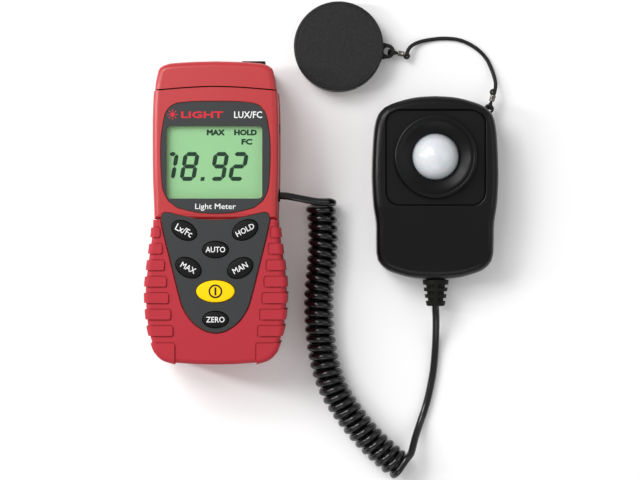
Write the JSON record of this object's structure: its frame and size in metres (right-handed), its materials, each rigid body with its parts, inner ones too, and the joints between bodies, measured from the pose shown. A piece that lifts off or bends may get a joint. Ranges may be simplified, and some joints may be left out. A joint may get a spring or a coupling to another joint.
{
  "type": "light meter",
  "caption": "Hand-held light meter with a display, keypad and rubber grip sleeve, and a detector head on a coiled lead with a tethered cap.",
  "frame": {"origin": "centre of the handset's flat back face, on the surface that the whole set lies on", "axes": "+Y along the handset towards its display end, +X towards the side that the lead leaves, +Z out of the front face"},
  "size_m": [0.154, 0.2101, 0.038],
  "materials": {
    "case_red": "satin moulded ABS with a fine sheen",
    "sleeve_red": "matte thermoplastic rubber",
    "overlay_grey": "printed polycarbonate, smooth satin",
    "clear_window": "clear acrylic, polished",
    "lcd_green": "backlit green liquid-crystal glass",
    "connector_rubber": "layered conductive elastomer",
    "key_black": "matte silicone with white legend",
    "key_yellow": "matte silicone with dark symbol",
    "silicone_grey": "translucent grey silicone",
    "circuit_green": "solder mask on glass-fibre board",
    "battery_jacket": "printed steel jacket",
    "rubber_black": "moulded rubber, matte",
    "steel": "zinc-plated",
    "satin_black": "satin moulded ABS",
    "dome_white": "opal diffuser with a soft gloss",
    "filter_glass": "green correction glass",
    "silicon_dark": "clear-topped silicon cell",
    "pvc_black": "glossy soft jacket",
    "tether_black": "round elastic cord",
    "ferrule_metal": "crimped metal tube",
    "cap_charcoal": "finely textured moulding"
  },
  "bodies": {
    "meter": {"front_case": "case_red", "rear_case": "case_red", "top_end_cap": "case_red", "grip_sleeve": "sleeve_red", "display_overlay": "overlay_grey", "keypad_overlay": "overlay_grey", "display_window": "clear_window", "lcd_panel": "lcd_green", "lcd_connector_lower": "connector_rubber", "lcd_connector_upper": "connector_rubber", "key_mat": "silicone_grey", "main_board": "circuit_green", "battery": "battery_jacket", "battery_snap": "rubber_black", "case_screw_1": "steel", "case_screw_2": "steel", "case_screw_3": "steel", "case_screw_4": "steel", "side_socket": "rubber_black", "top_port_plug": "rubber_black", "lead_grommet": "rubber_black", "sensor_front_shell": "satin_black", "sensor_rear_shell": "satin_black", "sensor_face_plate": "satin_black", "sensor_collar": "satin_black", "diffuser_dome": "dome_white", "correction_filter": "filter_glass", "photodiode": "silicon_dark", "sensor_board": "circuit_green", "sensor_screw_1": "steel", "sensor_screw_2": "steel", "cord_boot": "rubber_black", "lead_start": "pvc_black", "lead_coil": "pvc_black", "lead_end": "pvc_black", "tether_loop_cap": "tether_black", "tether_loop_head": "tether_black", "tether_ferrule_cap": "ferrule_metal", "tether_ferrule_head": "ferrule_metal", "tether_cord": "tether_black"},
    "key_units_body": {"key_units": "key_black"},
    "key_hold_body": {"key_hold": "key_black"},
    "key_auto_body": {"key_auto": "key_black"},
    "key_max_body": {"key_max": "key_black"},
    "key_manual_body": {"key_manual": "key_black"},
    "key_power_body": {"key_power": "key_yellow"},
    "key_zero_body": {"key_zero": "key_black"},
    "battery_door_body": {"battery_door": "case_red"},
    "sensor_cap_body": {"sensor_cap": "cap_charcoal"}
  },
  "joints": [
    {"name": "key_units_press", "type": "slide", "parent": "meter", "child": "key_units_body", "axis": [0, 0, -1], "range_m": [0, 0.0007], "stiffness_N_per_m": 500, "springref_m": -0.0006},
    {"name": "key_hold_press", "type": "slide", "parent": "meter", "child": "key_hold_body", "axis": [0, 0, -1], "range_m": [0, 0.0007], "stiffness_N_per_m": 500, "springref_m": -0.0006},
    {"name": "key_auto_press", "type": "slide", "parent": "meter", "child": "key_auto_body", "axis": [0, 0, -1], "range_m": [0, 0.0007], "stiffness_N_per_m": 500, "springref_m": -0.0006},
    {"name": "key_max_press", "type": "slide", "parent": "meter", "child": "key_max_body", "axis": [0, 0, -1], "range_m": [0, 0.0007], "stiffness_N_per_m": 500, "springref_m": -0.0006},
    {"name": "key_manual_press", "type": "slide", "parent": "meter", "child": "key_manual_body", "axis": [0, 0, -1], "range_m": [0, 0.0007], "stiffness_N_per_m": 500, "springref_m": -0.0006},
    {"name": "key_power_press", "type": "slide", "parent": "meter", "child": "key_power_body", "axis": [0, 0, -1], "range_m": [0, 0.0007], "stiffness_N_per_m": 500, "springref_m": -0.0006},
    {"name": "key_zero_press", "type": "slide", "parent": "meter", "child": "key_zero_body", "axis": [0, 0, -1], "range_m": [0, 0.0007], "stiffness_N_per_m": 500, "springref_m": -0.0006},
    {"name": "battery_door_slide", "type": "slide", "parent": "meter", "child": "battery_door_body", "axis": [0, -1, 0], "range_m": [0, 0.057]},
    {"name": "sensor_cap_swivel", "type": "hinge", "parent": "meter", "child": "sensor_cap_body", "pos_m": [0.0746, 0.0716, 0.0039], "axis": [0, 0, 1], "range_deg": [-70, 28]}
  ]
}
